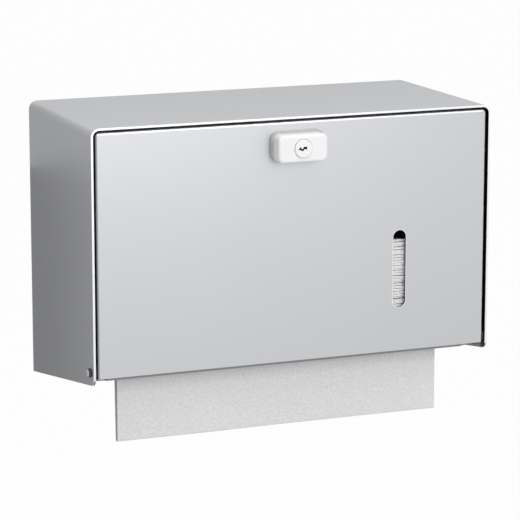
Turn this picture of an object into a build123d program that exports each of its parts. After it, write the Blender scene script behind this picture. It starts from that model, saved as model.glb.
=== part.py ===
"""Wall-mounted dispenser for folded paper towels: a sheet-metal casing with a locking flap.

Millimetres. X runs to the right across the front, Y runs from the front back to the wall, Z is up.
The origin is the centre of the back face, where the casing lies against the wall.
"""

from build123d import *
from math import atan, cos, degrees, radians, sin
import os

# Casing
width = 300.0
depth = 140.0
back_height = 200.0
front_height = 178.0
sheet = 1.5
bend_radius = 6.0
corner_radius = 6.0
weld_gap = 0.1

# Back plate and the holes for the wall screws
back_flange = 12.0
wall_hole_spacing_x = 264.0
wall_hole_spacing_z = 130.0
wall_hole_height = 5.0
wall_slot_length = 12.0
wall_slot_width = 5.5

# Flap
flap_gap = 1.5
flap_recess = 0.8
flap_height = 170.8
flap_corner_radius = 3.0
flap_edge_radius = 2.0
flap_top_flange = 8.0
flap_side_flange = 13.0
hem_height = 8.0
hem_end_margin = 9.0
window_x = 79.8
window_drop = 114.0
window_length = 56.0
window_width = 10.0

# Pivots at the lower front corners
pivot_back = 7.0
pivot_drop = 170.0
ear_radius = 8.3
shoulder_radius = 2.5
thread_radius = 1.95
running_gap = 0.06
side_play = 0.1
pivot_head_radius = 3.2
pivot_head_height = 2.2
socket_across_flats = 2.5
socket_depth = 1.3
spacer_radius = 5.0
inner_washer_radius = 4.0
inner_washer_thickness = 0.8
pivot_nut_across_flats = 7.0
pivot_nut_height = 4.0

# Tray that carries the towels, with the outlet they are drawn through
tray_sheet = 1.2
tray_rise = 1.5
tray_front_back = 13.0
tray_lip_height = 3.2
tray_corner_notch_width = 12.0
tray_corner_notch_back = 18.0
tray_side_flange = 9.0
outlet_front_back = 26.5
outlet_length = 48.0
outlet_width = 254.0
outlet_corner_radius = 5.0
outlet_collar_height = 4.5

# Lock
lock_drop = 20.7
lock_base_width = 39.8
lock_base_height = 20.4
lock_base_rise = 0.9
lock_base_thickness = 3.0
lock_base_corner_radius = 5.5
lock_base_edge_radius = 0.5
housing_width = 36.8
housing_height = 19.3
housing_thickness = 10.0
housing_corner_radius = 4.2
housing_edge_radius = 2.0
plug_head_radius = 6.55
plug_head_thickness = 2.6
plug_head_proud = 0.8
plug_head_edge_radius = 0.6
plug_ring_gap = 0.25
plug_radius = 4.5
barrel_radius = 6.3
lock_fit = 0.1
doubler_width = 60.0
doubler_height = 26.0
doubler_thickness = 1.5
lock_washer_thickness = 0.8
lock_washer_radius = 10.0
lock_nut_across_flats = 18.0
lock_nut_height = 3.2
wafer_count = 4
wafer_thickness = 0.9
wafer_pitch = 2.4
wafer_width = 4.6
wafer_height = 7.0
wafer_gap = 0.08

# Cam, its screw and the keeper
keeper_clearance = 0.7
keeper_sheet = 1.5
keeper_width = 46.0
keeper_drop = 10.5
keeper_foot = 16.0
cam_gap = 1.2
cam_thickness = 2.0
cam_reach = 16.0
cam_width = 9.0
square_drive = 6.0
cam_washer_thickness = 0.8
cam_washer_radius = 4.5
cam_screw_head_radius = 3.8
cam_screw_head_height = 2.4
cam_screw_radius = 1.6
cam_screw_length = 9.0

# Towels
towel_width = 246.0
towel_fold = 120.0
towel_thickness = 1.8
towel_pitch = 1.87
towel_count = 41
stack_front_back = 5.0
seat_gap = 0.3
leaf_thickness = 0.5
leaf_front_back = 30.0
leaf_spread_top = 6.2
leaf_spread_fold = 4.4
leaf_bottom_drop = 228.5

# Places worked out from the sizes above
top_z = back_height / 2
front_y = -depth
front_edge_z = top_z - front_height
rear_edge_z = top_z - back_height
slope = (back_height - front_height) / depth
slope_angle = degrees(atan(slope))
inner_half_width = width / 2 - sheet
flap_half_width = inner_half_width - flap_gap
flap_top_z = top_z - sheet - flap_gap
flap_bottom_z = flap_top_z - flap_height
flap_front_y = front_y + flap_recess
flap_inner_y = flap_front_y + sheet
pivot_y = front_y + pivot_back
pivot_z = top_z - pivot_drop
lock_z = top_z - lock_drop
window_z = top_z - window_drop


def edge_z(y):
    """Height of the casing's sloping lower edge at a distance y from the wall."""
    return front_edge_z - slope * (y - front_y)


def arch(half_width, top, bottom, radius, mode=Mode.ADD):
    """Draw a face with rounded upper corners and square lower ones in the open sketch."""
    with Locations((0, (top + bottom) / 2)):
        RectangleRounded(2 * half_width, top - bottom, radius, mode=mode)
    with Locations((0, bottom + radius)):
        Rectangle(2 * half_width, 2 * radius, mode=mode)


# Casing shell: one strip bent over the left side, the top and the right side
with BuildPart() as casing_shell:
    with BuildSketch(Plane.XZ):
        arch(width / 2, top_z, rear_edge_z, bend_radius)
        arch(inner_half_width, top_z - sheet, rear_edge_z - 1, bend_radius - sheet, Mode.SUBTRACT)
    extrude(amount=depth)
    with BuildSketch(Plane.YZ):
        with BuildLine():
            Polyline(
                (front_y, rear_edge_z - 1),
                (front_y, front_edge_z),
                (0, rear_edge_z),
                (0, rear_edge_z - 1),
                close=True,
            )
        make_face()
    extrude(amount=width, both=True, mode=Mode.SUBTRACT)
    front_edges = casing_shell.edges().filter_by(Axis.X).group_by(Axis.Y)[0]
    fillet(front_edges.group_by(Axis.Z)[0], corner_radius)
    with BuildSketch(Plane.YZ):
        with Locations((pivot_y, pivot_z)):
            Circle(shoulder_radius + running_gap)
    extrude(amount=width, both=True, mode=Mode.SUBTRACT)

# Back plate: a shallow pan welded inside the shell, with slots for four wall screws
with BuildPart() as back_plate:
    pan_half_width = inner_half_width - weld_gap
    pan_top = top_z - sheet - weld_gap
    pan_radius = bend_radius - sheet - weld_gap
    with BuildSketch(Plane.XZ):
        arch(pan_half_width, pan_top, rear_edge_z, pan_radius)
    extrude(amount=back_flange)
    with BuildSketch(Plane.XZ.offset(sheet)):
        arch(pan_half_width - sheet, pan_top - sheet, rear_edge_z - 1, pan_radius - sheet)
    extrude(amount=back_flange, mode=Mode.SUBTRACT)
    with BuildSketch(Plane.XZ):
        with Locations((0, wall_hole_height)):
            with GridLocations(wall_hole_spacing_x, wall_hole_spacing_z, 2, 2):
                SlotOverall(wall_slot_length, wall_slot_width)
    extrude(amount=sheet, mode=Mode.SUBTRACT)
    with BuildSketch(Plane.YZ):
        with BuildLine():
            Polyline(
                (-back_flange, edge_z(-back_flange)),
                (0, rear_edge_z),
                (-back_flange, rear_edge_z),
                close=True,
            )
        make_face()
    extrude(amount=width, both=True, mode=Mode.SUBTRACT)

# Tray: sloping floor with upturned edges, and an outlet with an upturned collar
tray_front_y = front_y + tray_front_back
tray_rear_y = -sheet - weld_gap
tray_half_width = inner_half_width - weld_gap
outlet_centre_y = front_y + outlet_front_back + outlet_length / 2
outlet_floor_z = edge_z(outlet_centre_y) + tray_rise
with BuildPart() as bottom_tray:
    with BuildSketch(Plane.YZ.offset(-tray_half_width)):
        with BuildLine():
            Polyline(
                (tray_front_y, edge_z(tray_front_y) + tray_rise),
                (tray_rear_y, edge_z(tray_rear_y) + tray_rise),
                (tray_rear_y, edge_z(tray_rear_y) + tray_rise + tray_side_flange),
                (tray_rear_y - tray_sheet, edge_z(tray_rear_y) + tray_rise + tray_side_flange),
                (tray_rear_y - tray_sheet, edge_z(tray_rear_y - tray_sheet) + tray_rise + tray_sheet),
                (tray_front_y + tray_sheet, edge_z(tray_front_y + tray_sheet) + tray_rise + tray_sheet),
                (tray_front_y + tray_sheet, edge_z(tray_front_y) + tray_rise + tray_lip_height),
                (tray_front_y, edge_z(tray_front_y) + tray_rise + tray_lip_height),
                close=True,
            )
        make_face()
    extrude(amount=2 * tray_half_width)
    # Corners cut back to clear the flap's ears as they turn
    with BuildSketch(Plane.XY):
        for side in (-1, 1):
            with Locations((side * tray_half_width, tray_front_y)):
                Rectangle(2 * tray_corner_notch_width, 2 * (tray_corner_notch_back - tray_front_back))
    extrude(amount=back_height, both=True, mode=Mode.SUBTRACT)
    # Side flanges, welded to the casing's walls above the pivots' reach
    flange_front_y = front_y + tray_corner_notch_back
    flange_rear_y = -back_flange - weld_gap
    for side in (-1, 1):
        with BuildSketch(Plane.YZ.offset(side * (tray_half_width - tray_sheet / 2))):
            with BuildLine():
                Polyline(
                    (flange_front_y, edge_z(flange_front_y) + tray_rise),
                    (flange_rear_y, edge_z(flange_rear_y) + tray_rise),
                    (flange_rear_y, edge_z(flange_rear_y) + tray_rise + tray_side_flange),
                    (flange_front_y, edge_z(flange_front_y) + tray_rise + tray_side_flange),
                    close=True,
                )
            make_face()
        extrude(amount=tray_sheet / 2, both=True)
    # The back plate's side flanges stand in the rear corners
    with BuildSketch(Plane.XY):
        for side in (-1, 1):
            with Locations((side * tray_half_width, 0)):
                Rectangle(2 * (sheet + weld_gap), 2 * (back_flange + weld_gap))
    extrude(amount=back_height, both=True, mode=Mode.SUBTRACT)
    # Outlet and its collar, square to the sloping floor
    outlet_plane = Plane(
        origin=(0, outlet_centre_y, outlet_floor_z),
        x_dir=(1, 0, 0),
        z_dir=(0, sin(radians(slope_angle)), cos(radians(slope_angle))),
    )
    with BuildSketch(outlet_plane):
        RectangleRounded(outlet_width, outlet_length, outlet_corner_radius)
    extrude(amount=tray_sheet + outlet_collar_height)
    with BuildSketch(outlet_plane.offset(-tray_sheet)):
        RectangleRounded(
            outlet_width - 2 * tray_sheet,
            outlet_length - 2 * tray_sheet,
            outlet_corner_radius - tray_sheet,
        )
    extrude(amount=3 * tray_sheet + outlet_collar_height, mode=Mode.SUBTRACT)

# Keeper: angle welded under the casing's top, where the cam catches and the flap stops
keeper_front_y = flap_front_y + flap_top_flange + keeper_clearance
with BuildPart() as latch_keeper:
    with BuildSketch(Plane.YZ):
        with BuildLine():
            Polyline(
                (keeper_front_y, top_z - sheet),
                (keeper_front_y, top_z - sheet - keeper_drop),
                (keeper_front_y + keeper_sheet, top_z - sheet - keeper_drop),
                (keeper_front_y + keeper_sheet, top_z - sheet - keeper_sheet),
                (keeper_front_y + keeper_foot, top_z - sheet - keeper_sheet),
                (keeper_front_y + keeper_foot, top_z - sheet),
                close=True,
            )
        make_face()
    extrude(amount=keeper_width / 2, both=True)
    topmost_edges = latch_keeper.edges().filter_by(Axis.X).group_by(Axis.Z)[-1]
    fillet(topmost_edges.sort_by(Axis.Y)[0], radius=keeper_sheet * 0.9)

# Flap: flat front with its top and side edges turned back, and a hem along the bottom
with BuildPart() as flap_panel:
    with BuildSketch(Plane.XZ.offset(-flap_front_y)):
        arch(flap_half_width, flap_top_z, flap_bottom_z, flap_corner_radius)
    extrude(amount=-flap_side_flange)
    front_face = flap_panel.faces().sort_by(Axis.Y)[0]
    lowest_front_edge = front_face.edges().sort_by(Axis.Z)[0]
    fillet([e for e in front_face.edges() if e != lowest_front_edge], flap_edge_radius)
    with BuildSketch(Plane.XZ.offset(-flap_inner_y)):
        arch(
            flap_half_width - sheet,
            flap_top_z - sheet,
            flap_bottom_z - 1,
            flap_corner_radius - sheet,
        )
    extrude(amount=-flap_side_flange, mode=Mode.SUBTRACT)
    # Shallower flange along the top
    with BuildSketch(Plane.XZ.offset(-(flap_front_y + flap_top_flange))):
        with Locations((0, flap_top_z)):
            Rectangle(2 * (flap_half_width - flap_corner_radius), 2 * flap_corner_radius)
    extrude(amount=-flap_side_flange, mode=Mode.SUBTRACT)
    # Hem folded flat against the inside of the lower edge
    with BuildSketch(Plane.XZ.offset(-flap_inner_y)):
        with Locations((0, flap_bottom_z + hem_height / 2)):
            Rectangle(2 * (flap_half_width - hem_end_margin), hem_height)
    extrude(amount=-sheet)
    # Ears round the pivots, from behind the rounded edge and no lower than the front
    for side in (-1, 1):
        with BuildSketch(Plane.YZ.offset(side * (flap_half_width - sheet / 2))):
            with Locations((pivot_y, pivot_z)):
                Circle(ear_radius)
            with Locations((flap_front_y + flap_edge_radius - ear_radius, pivot_z)):
                Rectangle(2 * ear_radius, 4 * ear_radius, mode=Mode.SUBTRACT)
            with Locations((pivot_y, flap_bottom_z - ear_radius)):
                Rectangle(4 * ear_radius, 2 * ear_radius, mode=Mode.SUBTRACT)
        extrude(amount=sheet / 2, both=True)
    with BuildSketch(Plane.YZ):
        with Locations((pivot_y, pivot_z)):
            Circle(shoulder_radius + running_gap)
    extrude(amount=width, both=True, mode=Mode.SUBTRACT)
    # Side flanges end on the ears' round
    with BuildSketch(Plane.YZ):
        with Locations((pivot_y + ear_radius, pivot_z - ear_radius / 2)):
            Rectangle(2 * ear_radius, ear_radius)
        with Locations((pivot_y, pivot_z)):
            Circle(ear_radius, mode=Mode.SUBTRACT)
        with Locations((pivot_y, pivot_z + ear_radius)):
            Rectangle(4 * ear_radius, 2 * ear_radius, mode=Mode.SUBTRACT)
    extrude(amount=width, both=True, mode=Mode.SUBTRACT)
    # Window, and the hole for the lock's barrel
    with BuildSketch(Plane.XZ.offset(-flap_front_y + 1)):
        with Locations((window_x, window_z)):
            SlotOverall(window_length, window_width, rotation=90)
        with Locations((0, lock_z)):
            Circle(barrel_radius + lock_fit)
    extrude(amount=-(sheet + 2), mode=Mode.SUBTRACT)

# Lock: white housing on a base, a steel barrel through the flap, and its nut
housing_back_y = flap_front_y - lock_base_thickness
housing_front_y = housing_back_y - housing_thickness
with BuildPart() as lock_base:
    with BuildSketch(Plane.XZ.offset(-flap_front_y)):
        with Locations((0, lock_z + lock_base_rise)):
            RectangleRounded(lock_base_width, lock_base_height, lock_base_corner_radius)
    extrude(amount=lock_base_thickness)
    fillet(lock_base.faces().sort_by(Axis.Y)[0].edges(), lock_base_edge_radius)
    with BuildSketch(Plane.XZ.offset(-flap_front_y)):
        with Locations((0, lock_z)):
            Circle(barrel_radius + lock_fit)
    extrude(amount=lock_base_thickness, mode=Mode.SUBTRACT)

with BuildPart() as lock_housing:
    with BuildSketch(Plane.XZ.offset(-housing_back_y)):
        with Locations((0, lock_z)):
            RectangleRounded(housing_width, housing_height, housing_corner_radius)
    extrude(amount=housing_thickness)
    fillet(lock_housing.faces().sort_by(Axis.Y)[0].edges(), housing_edge_radius)
    with BuildSketch(Plane.XZ.offset(-housing_back_y)):
        with Locations((0, lock_z)):
            Circle(barrel_radius + lock_fit)
    extrude(amount=housing_thickness, mode=Mode.SUBTRACT)
    with BuildSketch(Plane.XZ.offset(-housing_front_y)):
        with Locations((0, lock_z)):
            Circle(plug_head_radius + plug_ring_gap)
    extrude(amount=-plug_head_thickness, mode=Mode.SUBTRACT)

doubler_back_y = flap_inner_y + doubler_thickness
washer_back_y = doubler_back_y + lock_washer_thickness
plug_head_front_y = housing_front_y - plug_head_proud
plug_head_back_y = plug_head_front_y + plug_head_thickness
keeper_back_y = keeper_front_y + keeper_sheet
cam_front_y = keeper_back_y + cam_gap
cam_back_y = cam_front_y + cam_thickness
barrel_front_y = plug_head_back_y + lock_fit
barrel_back_y = cam_front_y - 2 * lock_fit

with BuildPart() as lock_barrel:
    with BuildSketch(Plane.XZ.offset(-barrel_front_y)):
        with Locations((0, lock_z)):
            Circle(barrel_radius)
            Circle(plug_radius + running_gap, mode=Mode.SUBTRACT)
    extrude(amount=barrel_front_y - barrel_back_y)

with BuildPart() as lock_doubler:
    with BuildSketch(Plane.XZ.offset(-flap_inner_y)):
        with Locations((0, lock_z)):
            RectangleRounded(doubler_width, doubler_height, flap_corner_radius)
            Circle(barrel_radius + lock_fit, mode=Mode.SUBTRACT)
    extrude(amount=-doubler_thickness)

with BuildPart() as lock_washer:
    with BuildSketch(Plane.XZ.offset(-doubler_back_y)):
        with Locations((0, lock_z)):
            Circle(lock_washer_radius)
            Circle(barrel_radius + lock_fit, mode=Mode.SUBTRACT)
    extrude(amount=-lock_washer_thickness)

with BuildPart() as lock_nut:
    with BuildSketch(Plane.XZ.offset(-washer_back_y)):
        with Locations((0, lock_z)):
            RegularPolygon(lock_nut_across_flats / 2, 6, major_radius=False)
            Circle(barrel_radius + lock_fit / 2, mode=Mode.SUBTRACT)
    extrude(amount=-lock_nut_height)

# Plug: turns in the barrel, with a keyway, slots for the wafers and a square for the cam
keyway_half = 3.4
keyway_shift = -1.0
keyway_rise = 1.4
keyway_web = 0.7
first_wafer_y = plug_head_back_y + 2 * wafer_pitch
wafer_places = [first_wafer_y + n * wafer_pitch for n in range(wafer_count)]
keyway_depth = wafer_places[-1] + wafer_pitch - plug_head_front_y
keyway_corners = [
    (-keyway_half, -keyway_rise / 2),
    (-keyway_half / 2, keyway_rise),
    (0, -keyway_rise / 4),
    (keyway_half / 4, keyway_rise),
    (keyway_half, keyway_rise),
    (keyway_half, -keyway_rise),
    (keyway_half - keyway_web, -keyway_rise / 4),
    (keyway_half / 2, -keyway_rise / 4),
    (0, -keyway_rise - keyway_web / 2),
    (-keyway_half / 2, keyway_rise - 3 * keyway_web),
]
with BuildPart() as lock_plug:
    with BuildSketch(Plane.XZ.offset(-plug_head_front_y)):
        with Locations((0, lock_z)):
            Circle(plug_head_radius)
    extrude(amount=-plug_head_thickness)
    fillet(lock_plug.faces().sort_by(Axis.Y)[0].edges(), plug_head_edge_radius)
    with BuildSketch(Plane.XZ.offset(-plug_head_back_y)):
        with Locations((0, lock_z)):
            Circle(plug_radius)
    extrude(amount=plug_head_back_y - cam_front_y)
    with BuildSketch(Plane.XZ.offset(-cam_front_y)):
        with Locations((0, lock_z)):
            Rectangle(square_drive, square_drive)
    extrude(amount=-cam_thickness)
    # Keyway of three slanting flutes, open at the front
    with BuildSketch(Plane.XZ.offset(-plug_head_front_y)):
        with BuildLine():
            Polyline(
                *[(keyway_shift + x, lock_z + z) for x, z in keyway_corners],
                close=True,
            )
        make_face()
    extrude(amount=-keyway_depth, mode=Mode.SUBTRACT)
    for y in wafer_places:
        with BuildSketch(Plane.XZ.offset(-(y - wafer_thickness / 2 - wafer_gap))):
            with Locations((0, lock_z)):
                Rectangle(wafer_width + 2 * wafer_gap, wafer_height + 2 * wafer_gap)
        extrude(amount=-(wafer_thickness + 2 * wafer_gap), mode=Mode.SUBTRACT)
    with BuildSketch(Plane.XZ.offset(-cam_back_y)):
        with Locations((0, lock_z)):
            Circle(cam_screw_radius + running_gap)
    extrude(amount=cam_screw_length, mode=Mode.SUBTRACT)

with BuildPart() as lock_wafers:
    for y in wafer_places:
        with BuildSketch(Plane.XZ.offset(-(y - wafer_thickness / 2))):
            with Locations((0, lock_z)):
                Rectangle(wafer_width, wafer_height)
                Rectangle(wafer_width - 2, wafer_height / 2, mode=Mode.SUBTRACT)
        extrude(amount=-wafer_thickness)

with BuildPart() as lock_cam:
    with BuildSketch(Plane.XZ.offset(-cam_front_y)):
        with Locations((0, lock_z)):
            Circle(cam_width / 2 + 1)
        with Locations((cam_reach / 2, lock_z)):
            Rectangle(cam_reach, cam_width)
        with Locations((0, lock_z)):
            Rectangle(
                square_drive + 2 * running_gap, square_drive + 2 * running_gap, mode=Mode.SUBTRACT
            )
    extrude(amount=-cam_thickness)
    fillet(lock_cam.edges().filter_by(Axis.Y).group_by(Axis.X)[-1], cam_thickness)

with BuildPart() as cam_washer:
    with BuildSketch(Plane.XZ.offset(-cam_back_y)):
        with Locations((0, lock_z)):
            Circle(cam_washer_radius)
            Circle(cam_screw_radius + running_gap, mode=Mode.SUBTRACT)
    extrude(amount=-cam_washer_thickness)

cam_screw_seat_y = cam_back_y + cam_washer_thickness
with BuildPart() as cam_screw:
    with BuildSketch(Plane.XZ.offset(-cam_screw_seat_y)):
        with Locations((0, lock_z)):
            Circle(cam_screw_head_radius)
    extrude(amount=-cam_screw_head_height)
    fillet(cam_screw.faces().sort_by(Axis.Y)[-1].edges(), cam_screw_head_height / 2)
    with BuildSketch(Plane.XZ.offset(-(cam_screw_seat_y + cam_screw_head_height))):
        with Locations((0, lock_z)):
            Rectangle(2 * cam_screw_radius, cam_screw_radius / 2)
            Rectangle(cam_screw_radius / 2, 2 * cam_screw_radius)
    extrude(amount=cam_screw_head_height / 2, mode=Mode.SUBTRACT)
    with BuildSketch(Plane.XZ.offset(-cam_screw_seat_y)):
        with Locations((0, lock_z)):
            Circle(cam_screw_radius)
    extrude(amount=cam_screw_length - cam_washer_thickness)

# Pivots: shoulder screws from outside, spacers between casing and ear, washers and nuts inside
pivot_plane_y_z = (pivot_y, pivot_z)
ear_inner_x = flap_half_width - sheet
washer_inner_x = ear_inner_x - side_play - inner_washer_thickness
shoulder_end_x = washer_inner_x - side_play
spacer_thickness = flap_gap - 2 * side_play


def pivot_ring(side, start_x, thickness, outer, inner):
    """Ring round the pivot axis, from start_x towards the middle of the casing."""
    with BuildPart() as ring:
        with BuildSketch(Plane.YZ.offset(side * start_x)):
            with Locations(pivot_plane_y_z):
                Circle(outer)
                Circle(inner, mode=Mode.SUBTRACT)
        extrude(amount=-side * thickness)
    return ring.part


with BuildPart() as pivot_screws:
    for side in (-1, 1):
        with BuildSketch(Plane.YZ.offset(side * width / 2)):
            with Locations(pivot_plane_y_z):
                Circle(pivot_head_radius)
        extrude(amount=side * pivot_head_height)
        outer_face = pivot_screws.faces().sort_by(Axis.X)[0 if side < 0 else -1]
        fillet(outer_face.edges(), pivot_head_height * 0.6)
        with BuildSketch(Plane.YZ.offset(side * (width / 2 + pivot_head_height))):
            with Locations(pivot_plane_y_z):
                RegularPolygon(socket_across_flats / 2, 6, major_radius=False)
        extrude(amount=-side * socket_depth, mode=Mode.SUBTRACT)
        with BuildSketch(Plane.YZ.offset(side * width / 2)):
            with Locations(pivot_plane_y_z):
                Circle(shoulder_radius)
        extrude(amount=-side * (width / 2 - shoulder_end_x))
        with BuildSketch(Plane.YZ.offset(side * shoulder_end_x)):
            with Locations(pivot_plane_y_z):
                Circle(thread_radius)
        extrude(amount=-side * (pivot_nut_height + 1))

with BuildPart() as pivot_spacers:
    for side in (-1, 1):
        add(
            pivot_ring(
                side,
                inner_half_width - side_play,
                spacer_thickness,
                spacer_radius,
                shoulder_radius + running_gap,
            )
        )

with BuildPart() as pivot_washers:
    for side in (-1, 1):
        add(
            pivot_ring(
                side,
                ear_inner_x - side_play,
                inner_washer_thickness,
                inner_washer_radius,
                shoulder_radius + running_gap,
            )
        )

with BuildPart() as pivot_nuts:
    for side in (-1, 1):
        with BuildSketch(Plane.YZ.offset(side * shoulder_end_x)):
            with Locations(pivot_plane_y_z):
                RegularPolygon(pivot_nut_across_flats / 2, 6, major_radius=False)
                Circle(thread_radius + running_gap, mode=Mode.SUBTRACT)
        extrude(amount=-side * pivot_nut_height)

# Stack of folded towels, each lying parallel to the tray, their front folds in one upright face
stack_front_y = front_y + stack_front_back
towel_rise = (tray_rise + tray_sheet + outlet_collar_height + seat_gap) / cos(radians(slope_angle))
towel_run = towel_fold * cos(radians(slope_angle))
towel_mid_y = stack_front_y + towel_run / 2
lowest_towel_z = edge_z(towel_mid_y) + towel_rise + towel_pitch / 2
towel_step = towel_pitch / cos(radians(slope_angle))
towel_places = [(towel_mid_y, lowest_towel_z + n * towel_step) for n in range(towel_count)]
with BuildPart() as towel_stack:
    with BuildSketch(Plane.YZ.offset(-towel_width / 2)):
        with Locations(*towel_places):
            SlotOverall(towel_fold, towel_thickness, rotation=-slope_angle)
    extrude(amount=towel_width)

# The next towel: its fold hangs below the outlet, with a front and a rear leaf
leaf_front_y = front_y + leaf_front_back
leaf_fold_z = top_z - leaf_bottom_drop + leaf_spread_fold / 2
leaf_top_clearance = 0.6


def leaf_profile(inset, mode):
    """Draw the hanging towel's folded outline in the open sketch, drawn in by the inset."""
    front = leaf_front_y + inset
    rear_fold = leaf_front_y + leaf_spread_fold - inset
    rear_top = leaf_front_y + leaf_spread_top - inset
    top = [(y, edge_z(y) + towel_rise - leaf_top_clearance) for y in (front, rear_top)]
    Polygon(top[0], (front, leaf_fold_z), (rear_fold, leaf_fold_z), top[1], align=None, mode=mode)
    with Locations(((front + rear_fold) / 2, leaf_fold_z)):
        Circle((rear_fold - front) / 2, mode=mode)


with BuildPart() as hanging_towel:
    with BuildSketch(Plane.YZ.offset(-towel_width / 2)):
        leaf_profile(0, Mode.ADD)
        leaf_profile(leaf_thickness, Mode.SUBTRACT)
    extrude(amount=towel_width)

pieces = {
    "casing_shell": casing_shell,
    "back_plate": back_plate,
    "bottom_tray": bottom_tray,
    "latch_keeper": latch_keeper,
    "flap_panel": flap_panel,
    "lock_base": lock_base,
    "lock_housing": lock_housing,
    "lock_barrel": lock_barrel,
    "lock_doubler": lock_doubler,
    "lock_washer": lock_washer,
    "lock_nut": lock_nut,
    "lock_plug": lock_plug,
    "lock_wafers": lock_wafers,
    "lock_cam": lock_cam,
    "cam_washer": cam_washer,
    "cam_screw": cam_screw,
    "pivot_screws": pivot_screws,
    "pivot_spacers": pivot_spacers,
    "pivot_washers": pivot_washers,
    "pivot_nuts": pivot_nuts,
    "towel_stack": towel_stack,
    "hanging_towel": hanging_towel,
}

os.makedirs("parts", exist_ok=True)
for name, piece in pieces.items():
    piece.part.label = name
    export_step(piece.part, f"parts/{name}.step")
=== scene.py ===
"""Studio view of a wall-mounted dispenser for folded paper towels, with its flap shut."""

import math
import random

import bpy
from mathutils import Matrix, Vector


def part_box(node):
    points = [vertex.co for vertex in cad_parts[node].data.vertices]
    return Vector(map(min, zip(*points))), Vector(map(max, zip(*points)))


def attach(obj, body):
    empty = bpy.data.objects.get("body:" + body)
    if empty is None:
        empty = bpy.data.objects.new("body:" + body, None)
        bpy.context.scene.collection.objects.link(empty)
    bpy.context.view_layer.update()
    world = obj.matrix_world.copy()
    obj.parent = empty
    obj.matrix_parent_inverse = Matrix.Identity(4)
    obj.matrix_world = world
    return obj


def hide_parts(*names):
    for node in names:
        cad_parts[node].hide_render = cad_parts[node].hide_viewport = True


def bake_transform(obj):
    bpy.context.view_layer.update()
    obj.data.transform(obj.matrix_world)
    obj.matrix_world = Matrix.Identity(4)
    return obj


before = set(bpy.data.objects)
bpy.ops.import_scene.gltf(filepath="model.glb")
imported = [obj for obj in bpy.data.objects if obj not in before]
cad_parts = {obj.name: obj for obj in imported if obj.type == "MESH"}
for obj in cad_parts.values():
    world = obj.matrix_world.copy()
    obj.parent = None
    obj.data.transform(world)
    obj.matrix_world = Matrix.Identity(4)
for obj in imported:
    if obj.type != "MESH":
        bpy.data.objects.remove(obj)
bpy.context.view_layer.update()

MM = 0.001

# Camera, solved from the casing's edges in the photograph
CAMERA_PLACE = (-0.6982, -1.7893, 0.3736)
CAMERA_YAW = 22.124
CAMERA_PITCH = 11.826
CAMERA_ROLL = -0.031
CAMERA_LENS = 181.2
SENSOR_WIDTH = 36.0

# Lamps: place, what it points at, width, height, power in watts
LAMPS = {
    "front_softbox": ((0.0819, -1.0761, 0.3420), (0, -0.14, 0), 0.4, 0.4, 3.3),
    "right_softbox": ((0.4056, -0.7192, 0.7071), (0, -0.14, 0), 0.5, 0.5, 0.7),
    "top_softbox": ((0.0, -0.418, 1.576), (0, -0.14, 0), 1.4, 1.0, 8.4),
}
WORLD_STRENGTH = 0.5

# Room: a white floor, and grey cards that the casing's left side and top reflect
FLOOR_HEIGHT = -0.62
FLOOR_SIZE = 80.0
FLOOR_GLOW = 0.97
CARDS = {
    "left_card": ((-0.300, 0.01, -0.35), (-0.151, 0.01, 0.05), 0.33),
    "left_upper_card": ((-0.300, 0.01, 0.05), (-0.151, 0.01, 0.15), 0.59),
    "top_card": ((-0.05, 0.60, 0.12), (1.2, 0.60, 0.40), 0.59),
}

# Aluminium sheet: its satin faces, bare cut edges brightened as a painted highlight, an inside darkened
# as painted shade, painted highlight and shade on the flap's edges, and black painted shade beside the
# gaps
SATIN = (0.546, 0.553, 0.568)
SATIN_ROUGHNESS = 0.46
SATIN_GRAIN = 2200.0
SATIN_GRAIN_DEPTH = 0.12
# Bare cut metal, lighter than the satin face and brightened further as a painted highlight; also the
# painted highlight round the flap's window
CUT_EDGE_AND_HIGHLIGHT = (0.80, 0.81, 0.82)
# Painted shade: the casing's inside face is darker than its outside
INSIDE_SHADE = (0.24, 0.244, 0.25)
SHADED = (0.03, 0.03, 0.032)
# Painted highlight on the flap's right and top edges
EDGE_HIGHLIGHT = (0.80, 0.805, 0.815)
# Painted shade on the flap's left edge
EDGE_SHADE = (0.34, 0.345, 0.355)
CASING_BEND = 6.0 * MM
SHEET_MIDDLE = 0.7 * MM
CUT_EDGE_DEPTH = 0.3 * MM
WINDOW_X = 79.8 * MM
WINDOW_Z = -14.0 * MM
WINDOW_STRAIGHT = 23.0 * MM
WINDOW_RADIUS = 5.0 * MM
# Width of the painted highlight on the flap's face round the window
WINDOW_HIGHLIGHT_RIM = 0.35 * MM
WINDOW_WALL = 0.05 * MM
FLAP_EDGE = 1.6 * MM
FLAP_SIDE = 0.1 * MM
FACE_DEPTH = 0.15 * MM
GAP_DEPTH = 6.0 * MM
PIVOT_Y = -133.0 * MM
PIVOT_Z = -70.0 * MM
SCREW_FACE_RADIUS = 2.5 * MM
SCREW_SOCKET_RADIUS = 1.1 * MM

# Refill of folded towels: each is a sheet folded to and fro
PAPER_THICKNESS = 0.28 * MM
FOLDED_THICKNESS = 0.36 * MM
LAYERS_PER_TOWEL = 4
LAYER_PITCH = 0.43 * MM
EDGE_PINCH = 0.95
TOWEL_FOLD = 120.0 * MM
TOWEL_HEIGHT = 1.8 * MM
TOWEL_COUNT = 41
TOWEL_SCATTER = 0.25 * MM
TOWEL_SETBACK = 1.8 * MM
TOWEL_SETTLE = 0.16 * MM
TOWEL_TURN = 0.12
TOWEL_COLUMNS = 6
LAYER_STEPS = 4
FOLD_STEPS = 5
SEED = 7

# Casing's lower edge, which the refill lies parallel to
SLOPE = math.atan(22.0 / 140.0)

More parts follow.
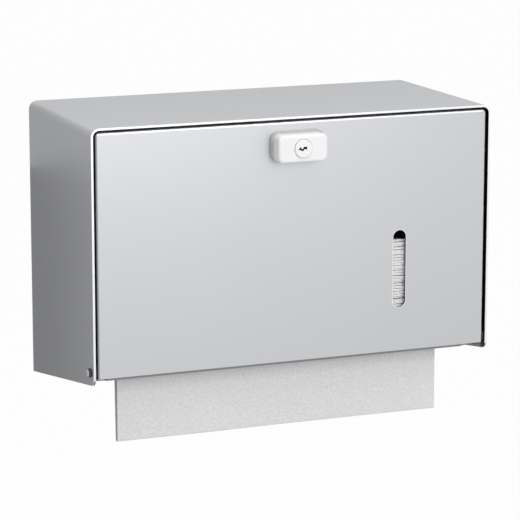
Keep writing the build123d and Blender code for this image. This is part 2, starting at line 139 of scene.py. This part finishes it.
# Hanging towel: a front and a rear leaf, joined by the fold at the bottom
LEAF_SPREAD_TOP = 6.2 * MM
LEAF_SPREAD_FOLD = 4.4 * MM
LEAF_THICKNESS = 0.5 * MM
LEAF_COLUMNS = 96
LEAF_ROWS = 40
LEAF_FOLD_ROWS = 10
LEAF_WAVE = 0.5 * MM
LEAF_WAVE_LEAN = 0.6
LEAF_CURL = 3.4 * MM
LEAF_CURL_DEPTH = 9.0 * MM
LEAF_CURL_LEAN = 0.3
LEAF_CURL_SHARPNESS = 12
LEAF_STRETCH_TOP = -0.0745
LEAF_STRETCH_BOTTOM = -0.0815


def nothing_selected():
    """Deselect every object, so that the next operator acts only on its own piece."""
    if bpy.context.object and bpy.context.object.mode != "OBJECT":
        bpy.ops.object.mode_set(mode="OBJECT")
    bpy.ops.object.select_all(action="DESELECT")


def new_material(name):
    """Material with an empty tree but for its Principled shader and output."""
    material = bpy.data.materials.new(name)
    material.use_nodes = True
    nodes = material.node_tree.nodes
    return material, nodes, material.node_tree.links, nodes["Principled BSDF"]


def group_socket(group, name, direction, kind, default=None):
    """Add a named socket to a shader node group."""
    socket = group.interface.new_socket(name=name, in_out=direction, socket_type=kind)
    if default is not None:
        socket.default_value = default
    return socket


def speckle_group():
    """Fine matt speckle of a blasted and anodised sheet, with a slow cloud over it."""
    group = bpy.data.node_groups.new("sheet_speckle", "ShaderNodeTree")
    group_socket(group, "Colour", "INPUT", "NodeSocketColor", (0.8, 0.8, 0.8, 1.0))
    group_socket(group, "Grain Size", "INPUT", "NodeSocketFloat", 2200.0)
    group_socket(group, "Grain Depth", "INPUT", "NodeSocketFloat", 0.03)
    group_socket(group, "Roughness", "INPUT", "NodeSocketFloat", 0.45)
    group_socket(group, "Colour", "OUTPUT", "NodeSocketColor")
    group_socket(group, "Roughness", "OUTPUT", "NodeSocketFloat")
    group_socket(group, "Height", "OUTPUT", "NodeSocketFloat")
    nodes, links = group.nodes, group.links
    inputs = nodes.new("NodeGroupInput")
    outputs = nodes.new("NodeGroupOutput")
    place = nodes.new("ShaderNodeTexCoord")
    grain = nodes.new("ShaderNodeTexNoise")
    grain.inputs["Detail"].default_value = 3.0
    links.new(place.outputs["Object"], grain.inputs["Vector"])
    links.new(inputs.outputs["Grain Size"], grain.inputs["Scale"])
    cloud = nodes.new("ShaderNodeTexNoise")
    cloud.inputs["Scale"].default_value = 9.0
    cloud.inputs["Detail"].default_value = 2.0
    links.new(place.outputs["Object"], cloud.inputs["Vector"])
    centred = nodes.new("ShaderNodeMath")
    centred.operation = "SUBTRACT"
    centred.inputs[1].default_value = 0.5
    links.new(grain.outputs["Fac"], centred.inputs[0])
    deep = nodes.new("ShaderNodeMath")
    deep.operation = "MULTIPLY"
    links.new(centred.outputs[0], deep.inputs[0])
    links.new(inputs.outputs["Grain Depth"], deep.inputs[1])
    slow = nodes.new("ShaderNodeMapRange")
    slow.inputs["To Min"].default_value = 0.985
    slow.inputs["To Max"].default_value = 1.015
    links.new(cloud.outputs["Fac"], slow.inputs["Value"])
    level = nodes.new("ShaderNodeMath")
    level.operation = "ADD"
    links.new(slow.outputs[0], level.inputs[0])
    links.new(deep.outputs[0], level.inputs[1])
    tint = nodes.new("ShaderNodeVectorMath")
    tint.operation = "SCALE"
    links.new(inputs.outputs["Colour"], tint.inputs[0])
    links.new(level.outputs[0], tint.inputs["Scale"])
    links.new(tint.outputs[0], outputs.inputs["Colour"])
    rough = nodes.new("ShaderNodeMath")
    rough.operation = "SUBTRACT"
    links.new(inputs.outputs["Roughness"], rough.inputs[0])
    links.new(deep.outputs[0], rough.inputs[1])
    links.new(rough.outputs[0], outputs.inputs["Roughness"])
    links.new(grain.outputs["Fac"], outputs.inputs["Height"])
    return group


def bump(nodes, links, height, strength, distance, shader):
    """Feed a height through a Bump node into the shader's normal."""
    node = nodes.new("ShaderNodeBump")
    node.inputs["Strength"].default_value = strength
    node.inputs["Distance"].default_value = distance
    links.new(height, node.inputs["Height"])
    links.new(node.outputs["Normal"], shader.inputs["Normal"])
    return node


def maths(nodes, links, operation, first, second=None):
    """Math node on two sockets or numbers."""
    node = nodes.new("ShaderNodeMath")
    node.operation = operation
    for socket, value in zip(node.inputs, (first, second)):
        if isinstance(value, (int, float)):
            socket.default_value = value
        elif value is not None:
            links.new(value, socket)
    return node.outputs[0]


def over(nodes, links, mask, below, colour):
    """The colour where the mask is 1, and the tone below where it is 0."""
    mix = nodes.new("ShaderNodeMixRGB")
    mix.inputs[2].default_value = (*colour, 1.0)
    links.new(mask, mix.inputs[0])
    links.new(below, mix.inputs[1])
    return mix.outputs[0]


def object_axes(nodes, links):
    """The part's own x, y and z at the shaded point."""
    place = nodes.new("ShaderNodeTexCoord")
    axes = nodes.new("ShaderNodeSeparateXYZ")
    links.new(place.outputs["Object"], axes.inputs[0])
    return axes.outputs["X"], axes.outputs["Y"], axes.outputs["Z"]


def corner_distance(nodes, links, across, along):
    """Distance from a rounded corner's centre lines, given how far the point is past each."""
    past_x = maths(nodes, links, "MAXIMUM", across, 0.0)
    past_z = maths(nodes, links, "MAXIMUM", along, 0.0)
    square_x = maths(nodes, links, "MULTIPLY", past_x, past_x)
    square_z = maths(nodes, links, "MULTIPLY", past_z, past_z)
    return maths(nodes, links, "SQRT", maths(nodes, links, "ADD", square_x, square_z))


def casing_tones(nodes, links, tone):
    """Cut edge round the front, bare metal brightened as a painted highlight, and an inside darkened as
    painted shade, with black painted shade beside the flap's edges.
    """
    low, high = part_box("casing_shell")
    x, y, z = object_axes(nodes, links)
    past_x = maths(nodes, links, "SUBTRACT", maths(nodes, links, "ABSOLUTE", x), high.x - CASING_BEND)
    past_z = maths(nodes, links, "SUBTRACT", z, high.z - CASING_BEND)
    reach = corner_distance(nodes, links, past_x, past_z)
    # Painted shade on the casing's inside face
    inside = maths(nodes, links, "LESS_THAN", reach, CASING_BEND - SHEET_MIDDLE)
    tone = over(nodes, links, inside, tone, INSIDE_SHADE)
    # Painted shade: the inside near the front, seen through the gap round the flap, is near black
    beside_flap = maths(nodes, links, "LESS_THAN", y, low.y + GAP_DEPTH)
    tone = over(nodes, links, maths(nodes, links, "MULTIPLY", inside, beside_flap), tone, SHADED)
    # Front cut edge: partly bare metal, partly a painted highlight
    front = maths(nodes, links, "LESS_THAN", y, low.y + CUT_EDGE_DEPTH)
    return over(nodes, links, front, tone, CUT_EDGE_AND_HIGHLIGHT)


def flap_tones(nodes, links, tone):
    """Painted highlights round the level window and on the right and top edges, painted shade on the
    left edge, and black painted shade on the cut edges and flanges behind the face.
    """
    low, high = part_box("flap_panel")
    x, y, z = object_axes(nodes, links)
    across = maths(nodes, links, "ABSOLUTE", maths(nodes, links, "SUBTRACT", x, WINDOW_X))
    along = maths(nodes, links, "ABSOLUTE", maths(nodes, links, "SUBTRACT", z, WINDOW_Z))
    past_end = maths(nodes, links, "SUBTRACT", along, WINDOW_STRAIGHT)
    reach = corner_distance(nodes, links, across, past_end)
    # Painted highlight: a thin bright rim on the flap's face round the window
    painted_light_rim = maths(nodes, links, "LESS_THAN", reach, WINDOW_RADIUS + WINDOW_HIGHLIGHT_RIM)
    tone = over(nodes, links, painted_light_rim, tone, CUT_EDGE_AND_HIGHLIGHT)
    # Painted highlight along the flap's right and top edges
    right = maths(nodes, links, "GREATER_THAN", x, high.x - FLAP_EDGE)
    top = maths(nodes, links, "GREATER_THAN", z, high.z - FLAP_EDGE)
    tone = over(nodes, links, maths(nodes, links, "MAXIMUM", right, top), tone, EDGE_HIGHLIGHT)
    # Painted shade along the flap's left edge
    left = maths(nodes, links, "LESS_THAN", x, low.x + FLAP_EDGE)
    tone = over(nodes, links, left, tone, EDGE_SHADE)
    # Painted shade: the window's cut wall and the flap's side flanges just behind its face are near
    # black
    wall = maths(nodes, links, "LESS_THAN", reach, WINDOW_RADIUS + WINDOW_WALL)
    side = maths(nodes, links, "GREATER_THAN", maths(nodes, links, "ABSOLUTE", x), high.x - FLAP_SIDE)
    edges = maths(nodes, links, "MAXIMUM", wall, side)
    behind = maths(nodes, links, "GREATER_THAN", y, low.y + FACE_DEPTH)
    before = maths(nodes, links, "LESS_THAN", y, low.y + GAP_DEPTH)
    band = maths(nodes, links, "MULTIPLY", behind, before)
    return over(nodes, links, maths(nodes, links, "MULTIPLY", edges, band), tone, SHADED)


def screw_tones(nodes, links, tone):
    """Pivot screws' heads: a pale face that is a painted highlight, and a black rim and socket that are
    painted shade.
    """
    _, y, z = object_axes(nodes, links)
    off_y = maths(nodes, links, "ABSOLUTE", maths(nodes, links, "SUBTRACT", y, PIVOT_Y))
    off_z = maths(nodes, links, "ABSOLUTE", maths(nodes, links, "SUBTRACT", z, PIVOT_Z))
    reach = corner_distance(nodes, links, off_y, off_z)
    painted_light_rim = maths(nodes, links, "GREATER_THAN", reach, SCREW_FACE_RADIUS)
    socket = maths(nodes, links, "LESS_THAN", reach, SCREW_SOCKET_RADIUS)
    return over(nodes, links, maths(nodes, links, "MAXIMUM", painted_light_rim, socket), tone, SHADED)


def speckled_metal(name, speckle, colour, metallic, roughness, grain_size, grain_depth, tones=None):
    """Metal whose colour, roughness and bump all come from the speckle group."""
    material, nodes, links, shader = new_material(name)
    grain = nodes.new("ShaderNodeGroup")
    grain.node_tree = speckle
    grain.inputs["Colour"].default_value = (*colour, 1.0)
    grain.inputs["Grain Size"].default_value = grain_size
    grain.inputs["Grain Depth"].default_value = grain_depth
    grain.inputs["Roughness"].default_value = roughness
    shader.inputs["Metallic"].default_value = metallic
    tone = grain.outputs["Colour"]
    if tones:
        tone = tones(nodes, links, tone)
    links.new(tone, shader.inputs["Base Color"])
    links.new(grain.outputs["Roughness"], shader.inputs["Roughness"])
    bump(nodes, links, grain.outputs["Height"], 0.5, 0.02 * MM, shader)
    return material


def galvanised(speckle):
    """Zinc-coated sheet: large pale and dark spangles under a fine speckle."""
    material, nodes, links, shader = new_material("galvanised_sheet")
    place = nodes.new("ShaderNodeTexCoord")
    spangle = nodes.new("ShaderNodeTexVoronoi")
    spangle.inputs["Scale"].default_value = 110.0
    links.new(place.outputs["Object"], spangle.inputs["Vector"])
    tone = nodes.new("ShaderNodeValToRGB")
    tone.color_ramp.elements[0].color = (0.46, 0.47, 0.48, 1.0)
    tone.color_ramp.elements[1].color = (0.62, 0.63, 0.64, 1.0)
    links.new(spangle.outputs["Color"], tone.inputs["Fac"])
    grain = nodes.new("ShaderNodeGroup")
    grain.node_tree = speckle
    grain.inputs["Grain Size"].default_value = 1500.0
    grain.inputs["Grain Depth"].default_value = 0.05
    grain.inputs["Roughness"].default_value = 0.42
    links.new(tone.outputs["Color"], grain.inputs["Colour"])
    links.new(grain.outputs["Colour"], shader.inputs["Base Color"])
    links.new(grain.outputs["Roughness"], shader.inputs["Roughness"])
    shader.inputs["Metallic"].default_value = 1.0
    bump(nodes, links, grain.outputs["Height"], 0.4, 0.02 * MM, shader)
    return material


def moulded_plastic(name, colour, roughness, coat, keyway_shade_y=None):
    """Moulded plastic with a faint orange peel and slightly uneven gloss.

    pocket is the y behind which it is near black: painted shade, as inside a keyway.
    """
    material, nodes, links, shader = new_material(name)
    place = nodes.new("ShaderNodeTexCoord")
    peel = nodes.new("ShaderNodeTexNoise")
    peel.inputs["Scale"].default_value = 900.0
    peel.inputs["Detail"].default_value = 2.0
    links.new(place.outputs["Object"], peel.inputs["Vector"])
    gloss = nodes.new("ShaderNodeMapRange")
    gloss.inputs["To Min"].default_value = roughness - 0.02
    gloss.inputs["To Max"].default_value = roughness + 0.02
    links.new(peel.outputs["Fac"], gloss.inputs["Value"])
    links.new(gloss.outputs[0], shader.inputs["Roughness"])
    mix = nodes.new("ShaderNodeMixRGB")
    mix.inputs[1].default_value = (*colour, 1.0)
    mix.inputs[2].default_value = (*[c * 0.985 for c in colour], 1.0)
    links.new(peel.outputs["Fac"], mix.inputs[0])
    tone = mix.outputs[0]
    if keyway_shade_y is not None:
        _, y, _ = object_axes(nodes, links)
        behind = maths(nodes, links, "GREATER_THAN", y, keyway_shade_y)
        # Painted shade: near black behind that depth, inside the keyway
        tone = over(nodes, links, behind, tone, (0.015, 0.015, 0.015))
    links.new(tone, shader.inputs["Base Color"])
    shader.inputs["Coat Weight"].default_value = coat
    shader.inputs["Coat Roughness"].default_value = 0.08
    bump(nodes, links, peel.outputs["Fac"], 0.1, 0.01 * MM, shader)
    return material


def turned_metal(name, colour, roughness, axis):
    """Turned or rolled metal with fine lines across the given axis."""
    material, nodes, links, shader = new_material(name)
    place = nodes.new("ShaderNodeTexCoord")
    stretch = nodes.new("ShaderNodeMapping")
    stretch.inputs["Scale"].default_value = tuple(6000.0 if a == axis else 300.0 for a in "XYZ")
    links.new(place.outputs["Object"], stretch.inputs["Vector"])
    lines = nodes.new("ShaderNodeTexNoise")
    lines.inputs["Scale"].default_value = 1.0
    lines.inputs["Detail"].default_value = 2.0
    links.new(stretch.outputs[0], lines.inputs["Vector"])
    gloss = nodes.new("ShaderNodeMapRange")
    gloss.inputs["To Min"].default_value = roughness - 0.08
    gloss.inputs["To Max"].default_value = roughness + 0.08
    links.new(lines.outputs["Fac"], gloss.inputs["Value"])
    links.new(gloss.outputs[0], shader.inputs["Roughness"])
    tone = nodes.new("ShaderNodeMixRGB")
    tone.inputs[1].default_value = (*colour, 1.0)
    tone.inputs[2].default_value = (*[c * 0.86 for c in colour], 1.0)
    links.new(lines.outputs["Fac"], tone.inputs[0])
    links.new(tone.outputs[0], shader.inputs["Base Color"])
    shader.inputs["Metallic"].default_value = 1.0
    bump(nodes, links, lines.outputs["Fac"], 0.3, 0.01 * MM, shader)
    return material


def embossed_paper(name, colour, depth, relief=0.8):
    """Soft crepe tissue with rows of small embossed dots and short fibres."""
    material, nodes, links, shader = new_material(name)
    place = nodes.new("ShaderNodeTexCoord")
    dots = nodes.new("ShaderNodeTexVoronoi")
    dots.inputs["Scale"].default_value = 700.0
    dots.inputs["Randomness"].default_value = 0.6
    links.new(place.outputs["Object"], dots.inputs["Vector"])
    crepe = nodes.new("ShaderNodeTexNoise")
    crepe.inputs["Scale"].default_value = 900.0
    crepe.inputs["Detail"].default_value = 4.0
    links.new(place.outputs["Object"], crepe.inputs["Vector"])
    height = nodes.new("ShaderNodeMath")
    height.operation = "ADD"
    links.new(dots.outputs["Distance"], height.inputs[0])
    links.new(crepe.outputs["Fac"], height.inputs[1])
    tone = nodes.new("ShaderNodeMapRange")
    tone.inputs["From Min"].default_value = 0.3
    tone.inputs["From Max"].default_value = 1.2
    tone.inputs["To Min"].default_value = 1.0 - depth
    tone.inputs["To Max"].default_value = 1.0 + 0.5 * depth
    links.new(height.outputs[0], tone.inputs["Value"])
    tint = nodes.new("ShaderNodeVectorMath")
    tint.operation = "SCALE"
    tint.inputs[0].default_value = colour
    links.new(tone.outputs[0], tint.inputs["Scale"])
    links.new(tint.outputs[0], shader.inputs["Base Color"])
    shader.inputs["Roughness"].default_value = 0.85
    shader.inputs["Specular IOR Level"].default_value = 0.2
    bump(nodes, links, height.outputs[0], relief, 0.18 * MM, shader)
    return material


def set_material(node, material):
    """Give a CAD node its finish."""
    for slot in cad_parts[node].material_slots:
        slot.material = material


def make_camera():
    """Camera at the photograph's viewing angle."""
    data = bpy.data.cameras.new("photo_camera")
    data.lens = CAMERA_LENS
    data.sensor_width = SENSOR_WIDTH
    camera = bpy.data.objects.new("photo_camera", data)
    camera.location = CAMERA_PLACE
    camera.rotation_euler = (
        math.radians(90 - CAMERA_PITCH),
        math.radians(CAMERA_ROLL),
        math.radians(-CAMERA_YAW),
    )
    bpy.context.scene.collection.objects.link(camera)
    bpy.context.scene.camera = camera


def make_lamps():
    """Soft boxes, each turned to what it lights."""
    for name, (place, target, wide, high, power) in LAMPS.items():
        data = bpy.data.lights.new(name, "AREA")
        data.shape = "RECTANGLE"
        data.size = wide
        data.size_y = high
        data.energy = power
        lamp = bpy.data.objects.new(name, data)
        lamp.location = place
        aim = Vector(target) - Vector(place)
        lamp.rotation_euler = aim.to_track_quat("-Z", "Y").to_euler()
        bpy.context.scene.collection.objects.link(lamp)


def straight_rays(nodes, links):
    """1 for the rays that see the white room: from the camera, off metal or through glass."""
    path = nodes.new("ShaderNodeLightPath")
    total = path.outputs["Is Camera Ray"]
    for kind in ("Is Glossy Ray", "Is Transmission Ray"):
        either = nodes.new("ShaderNodeMath")
        either.operation = "MAXIMUM"
        links.new(total, either.inputs[0])
        links.new(path.outputs[kind], either.inputs[1])
        total = either.outputs[0]
    return total


def make_world():
    """White to the camera and to metal and glass, and a soft grey light on the object."""
    world = bpy.data.worlds.new("studio")
    bpy.context.scene.world = world
    world.use_nodes = True
    nodes, links = world.node_tree.nodes, world.node_tree.links
    background = nodes["Background"]
    background.inputs["Color"].default_value = (1.0, 1.0, 1.0, 1.0)
    background.inputs["Strength"].default_value = WORLD_STRENGTH
    seen = nodes.new("ShaderNodeBackground")
    seen.inputs["Color"].default_value = (1.0, 1.0, 1.0, 1.0)
    seen.inputs["Strength"].default_value = 1.0
    mix = nodes.new("ShaderNodeMixShader")
    links.new(straight_rays(nodes, links), mix.inputs[0])
    links.new(background.outputs[0], mix.inputs[1])
    links.new(seen.outputs[0], mix.inputs[2])
    links.new(mix.outputs[0], nodes["World Output"].inputs["Surface"])


def make_floor():
    """White floor well below the casing, which keeps the object's shadow."""
    nothing_selected()
    bpy.ops.mesh.primitive_plane_add(size=FLOOR_SIZE, location=(0, 0, FLOOR_HEIGHT))
    floor = bpy.context.object
    floor.name = "studio_floor"
    material, nodes, links, shader = new_material("white_floor")
    shader.inputs["Base Color"].default_value = (0.90, 0.90, 0.90, 1.0)
    shader.inputs["Roughness"].default_value = 0.9
    glow = nodes.new("ShaderNodeEmission")
    glow.inputs["Strength"].default_value = 1.0
    share = nodes.new("ShaderNodeMath")
    share.operation = "MULTIPLY"
    share.inputs[1].default_value = FLOOR_GLOW
    links.new(straight_rays(nodes, links), share.inputs[0])
    mix = nodes.new("ShaderNodeMixShader")
    links.new(share.outputs[0], mix.inputs[0])
    links.new(shader.outputs[0], mix.inputs[1])
    links.new(glow.outputs[0], mix.inputs[2])
    links.new(mix.outputs[0], nodes["Material Output"].inputs["Surface"])
    floor.data.materials.append(material)


def make_cards():
    """Upright cards behind the casing, greyer than the room and out of the camera's sight."""
    for name, (low, high, grey) in CARDS.items():
        nothing_selected()
        middle = (Vector(low) + Vector(high)) / 2
        bpy.ops.mesh.primitive_plane_add(size=1.0, location=middle, rotation=(math.radians(90), 0, 0))
        card = bpy.context.object
        card.name = name
        card.scale = (high[0] - low[0], high[2] - low[2], 1.0)
        card.visible_camera = False
        card.visible_shadow = False
        material, _, _, shader = new_material(name)
        shader.inputs["Base Color"].default_value = (0.0, 0.0, 0.0, 1.0)
        shader.inputs["Specular IOR Level"].default_value = 0.0
        shader.inputs["Emission Color"].default_value = (1.0, 1.0, 1.0, 1.0)
        shader.inputs["Emission Strength"].default_value = grey
        card.data.materials.append(material)


def select_where(test):
    """In edit mode, select only the vertices whose place passes the test."""
    bpy.ops.mesh.select_all(action="DESELECT")
    bpy.ops.object.mode_set(mode="OBJECT")
    mesh = bpy.context.object.data
    for vertex in mesh.vertices:
        vertex.select = test(vertex.co)
    bpy.ops.object.mode_set(mode="EDIT")


def apply_all_modifiers(piece):
    """Apply the piece's modifiers in order."""
    bpy.context.view_layer.objects.active = piece
    for modifier in list(piece.modifiers):
        bpy.ops.object.modifier_apply(modifier=modifier.name)


def zigzag_path():
    """Points (y, z) along one folded towel's section, from its rear edge, about its middle.

    The layers lie closer together at the folds than in the middle of the towel.
    """
    radius = LAYER_PITCH * EDGE_PINCH / 2
    reach = TOWEL_FOLD / 2 - radius - FOLDED_THICKNESS / 2
    points = []
    for layer in range(LAYERS_PER_TOWEL):
        ahead = -1 if layer % 2 == 0 else 1
        height = (layer - (LAYERS_PER_TOWEL - 1) / 2) * LAYER_PITCH
        for step in range(LAYER_STEPS + 1):
            part = 2 * step / LAYER_STEPS - 1
            points.append((ahead * reach * part, height * (1 - (1 - EDGE_PINCH) * part ** 4)))
        if layer < LAYERS_PER_TOWEL - 1:
            for step in range(1, FOLD_STEPS):
                turn = math.pi * step / FOLD_STEPS
                rise = radius * (1 - math.cos(turn))
                points.append((ahead * (reach + radius * math.sin(turn)), height * EDGE_PINCH + rise))
    return points


def fold_one_towel(width):
    """One towel, folded from a strip by extruding its edge along the zigzag."""
    path = zigzag_path()
    nothing_selected()
    bpy.ops.mesh.primitive_grid_add(x_subdivisions=TOWEL_COLUMNS, y_subdivisions=1, size=1.0)
    towel = bpy.context.object
    length = path[0][0] - path[1][0]
    middle = path[0][0] - length / 2
    bpy.ops.object.mode_set(mode="EDIT")
    bpy.ops.transform.resize(value=(width, length, 1))
    bpy.ops.transform.translate(value=(0, middle, path[0][1]))
    select_where(lambda place: place.y < middle)
    for here, ahead in zip(path[1:], path[2:]):
        step = (0, ahead[0] - here[0], ahead[1] - here[1])
        bpy.ops.mesh.extrude_edges_move(TRANSFORM_OT_translate={"value": step})
    bpy.ops.mesh.select_all(action="SELECT")
    bpy.ops.mesh.normals_make_consistent(inside=False)
    bpy.ops.object.mode_set(mode="OBJECT")
    sheet = towel.modifiers.new("paper", "SOLIDIFY")
    sheet.thickness = FOLDED_THICKNESS
    sheet.offset = 0.0
    apply_all_modifiers(towel)
    return towel


def make_refill():
    """The stack of folded towels, each laid parallel to the tray and a little out of line."""
    low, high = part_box("towel_stack")
    width = high.x - low.x - 2 * TOWEL_SCATTER
    rise = (TOWEL_FOLD - TOWEL_HEIGHT) * math.sin(SLOPE) + TOWEL_HEIGHT
    step = (high.z - low.z - rise) / (TOWEL_COUNT - 1)
    first = Vector((0, (low.y + high.y) / 2, low.z + rise / 2))
    towel = fold_one_towel(width)
    chance = random.Random(SEED)
    copies = []
    for n in range(TOWEL_COUNT):
        nothing_selected()
        towel.select_set(True)
        bpy.context.view_layer.objects.active = towel
        bpy.ops.object.duplicate()
        copy = bpy.context.object
        copy.rotation_euler = (-SLOPE, 0, math.radians(chance.uniform(-TOWEL_TURN, TOWEL_TURN)))
        aside = chance.uniform(-TOWEL_SCATTER, TOWEL_SCATTER)
        back = TOWEL_SETBACK * chance.random() ** 3
        between = 0 < n < TOWEL_COUNT - 1
        lift = chance.uniform(-TOWEL_SETTLE, TOWEL_SETTLE) if between else 0
        copy.location = first + Vector((aside, back, n * step + lift))
        bpy.ops.object.transform_apply(location=True, rotation=True, scale=True)
        copies.append(copy)
    bpy.data.objects.remove(towel)
    nothing_selected()
    for copy in copies:
        copy.select_set(True)
    bpy.context.view_layer.objects.active = copies[0]
    bpy.ops.object.join()
    refill = bpy.context.object
    refill.name = "refill_of_towels"
    bpy.ops.object.shade_smooth_by_angle(angle=math.radians(50))
    refill.data.materials.append(refill_paper)
    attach(refill, "casing")
    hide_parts("towel_stack")
    return refill


def leaf_line(low, high):
    """Points (y, z) down the front leaf, round the fold and up the rear leaf."""
    front = low.y + LEAF_THICKNESS / 2
    radius = (LEAF_SPREAD_FOLD - LEAF_THICKNESS) / 2
    fold_height = low.z + LEAF_THICKNESS / 2 + radius
    rear_top = front + LEAF_SPREAD_TOP - LEAF_THICKNESS
    rear_fold = front + 2 * radius
    points = []
    for row in range(LEAF_ROWS + 1):
        part = row / LEAF_ROWS
        points.append((front, high.z + (fold_height - high.z) * part))
    for row in range(1, LEAF_FOLD_ROWS):
        turn = math.pi * row / LEAF_FOLD_ROWS
        points.append((front + radius * (1 - math.cos(turn)), fold_height - radius * math.sin(turn)))
    for row in range(LEAF_ROWS + 1):
        part = row / LEAF_ROWS
        rear_high = high.z - (rear_top - front) * math.tan(SLOPE)
        rear = rear_fold + (rear_top - rear_fold) * part
        points.append((rear, fold_height + (rear_high - fold_height) * part))
    return points


def make_hanging_towel():
    """The towel that hangs out of the outlet, waved a little along its lower edge."""
    low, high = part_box("hanging_towel")
    line = leaf_line(low, high)
    nothing_selected()
    bpy.ops.mesh.primitive_grid_add(x_subdivisions=LEAF_COLUMNS, y_subdivisions=len(line) - 1, size=1.0)
    towel = bpy.context.object
    towel.name = "hanging_leaf"
    width = high.x - low.x
    for vertex in towel.data.vertices:
        row = round((vertex.co.y + 0.5) * (len(line) - 1))
        y, z = line[row]
        x = vertex.co.x * width
        down = min(1.0, max(0.0, (LEAF_STRETCH_BOTTOM - z) / (LEAF_STRETCH_BOTTOM - low.z)))
        wave = LEAF_WAVE * down * (math.sin(x * 31.0 + 0.6) + 0.5 * math.sin(x * 67.0 + 2.0))
        under = min(1.0, max(0.0, (z - LEAF_STRETCH_TOP) / LEAF_CURL_DEPTH + 1.0))
        curl = LEAF_CURL * under ** 2 * max(0.0, vertex.co.x * 2) ** LEAF_CURL_SHARPNESS
        vertex.co = (x - curl, y + wave * LEAF_WAVE_LEAN + curl * LEAF_CURL_LEAN, z)
    nothing_selected()
    towel.select_set(True)
    bpy.context.view_layer.objects.active = towel
    bpy.ops.object.mode_set(mode="EDIT")
    bpy.ops.mesh.select_all(action="SELECT")
    bpy.ops.mesh.normals_make_consistent(inside=False)
    bpy.ops.object.mode_set(mode="OBJECT")
    sheet = towel.modifiers.new("paper", "SOLIDIFY")
    sheet.thickness = PAPER_THICKNESS
    sheet.offset = 0.0
    apply_all_modifiers(towel)
    bpy.ops.object.shade_smooth_by_angle(angle=math.radians(50))
    towel.data.materials.append(paper)
    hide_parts("hanging_towel")
    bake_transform(towel)
    return towel


bpy.context.scene.view_settings.view_transform = "Standard"
make_camera()
make_lamps()
make_world()
make_floor()
make_cards()

speckle = speckle_group()
flap_aluminium = speckled_metal(
    "satin_aluminium_flap", speckle, SATIN, 1.0, SATIN_ROUGHNESS, SATIN_GRAIN, SATIN_GRAIN_DEPTH,
    flap_tones,
)
casing_aluminium = speckled_metal(
    "satin_aluminium_casing", speckle, SATIN, 1.0, SATIN_ROUGHNESS, SATIN_GRAIN, SATIN_GRAIN_DEPTH,
    casing_tones,
)
zinc = galvanised(speckle)
# Darker than the other sheet, as painted shade for the tray lying in shadow under the flap
tray_steel_painted_shade = speckled_metal("tray_steel_painted_shade", speckle, (0.26, 0.265, 0.27), 1.0, 0.5, 1500.0, 0.08)
white_cap = moulded_plastic("white_cap", (0.92, 0.92, 0.92), 0.35, 0.15)
# The same white plastic as the cap, greyed as painted shade for the base's shaded side
white_base_painted_shade = moulded_plastic("white_base_painted_shade", (0.47, 0.47, 0.48), 0.4, 0.05)
plug_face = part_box("lock_plug")[0].y
plug_white = moulded_plastic("plug_white", (0.93, 0.93, 0.93), 0.35, 0.1, keyway_shade_y=plug_face + 0.9 * MM)
nylon = moulded_plastic("black_nylon", (0.025, 0.025, 0.026), 0.5, 0.0)
nickel = turned_metal("nickel", (0.72, 0.71, 0.69), 0.28, "Y")
stainless = turned_metal("stainless_screw", (0.42, 0.42, 0.43), 0.32, "X")
# Near white and hardly metallic: the screw head's face is a painted highlight
screw_painted_light = speckled_metal(
    "pivot_screw", speckle, (0.95, 0.95, 0.95), 0.1, 0.25, SATIN_GRAIN, 0.05, screw_tones
)
brass = turned_metal("brass", (0.80, 0.62, 0.34), 0.3, "Y")
# The hanging towel is the same paper as the refill, given a greyer colour as painted shade
paper = embossed_paper("embossed_paper", (0.83, 0.828, 0.838), 0.14)
refill_paper = embossed_paper("refill_paper", (0.98, 0.98, 0.98), 0.03, relief=0.25)

FINISHES = {
    "casing_shell": casing_aluminium,
    "flap_panel": flap_aluminium,
    "back_plate": zinc,
    "bottom_tray": tray_steel_painted_shade,
    "latch_keeper": zinc,
    "lock_doubler": zinc,
    "lock_base": white_base_painted_shade,
    "lock_housing": white_cap,
    "lock_plug": plug_white,
    "lock_barrel": nickel,
    "lock_nut": nickel,
    "lock_washer": stainless,
    "lock_wafers": brass,
    "lock_cam": stainless,
    "cam_washer": stainless,
    "cam_screw": stainless,
    "pivot_screws": screw_painted_light,
    "pivot_spacers": nylon,
    "pivot_washers": stainless,
    "pivot_nuts": stainless,
    "towel_stack": refill_paper,
    "hanging_towel": paper,
}
for node, finish in FINISHES.items():
    set_material(node, finish)

make_refill()
make_hanging_towel()

bpy.context.view_layer.update()
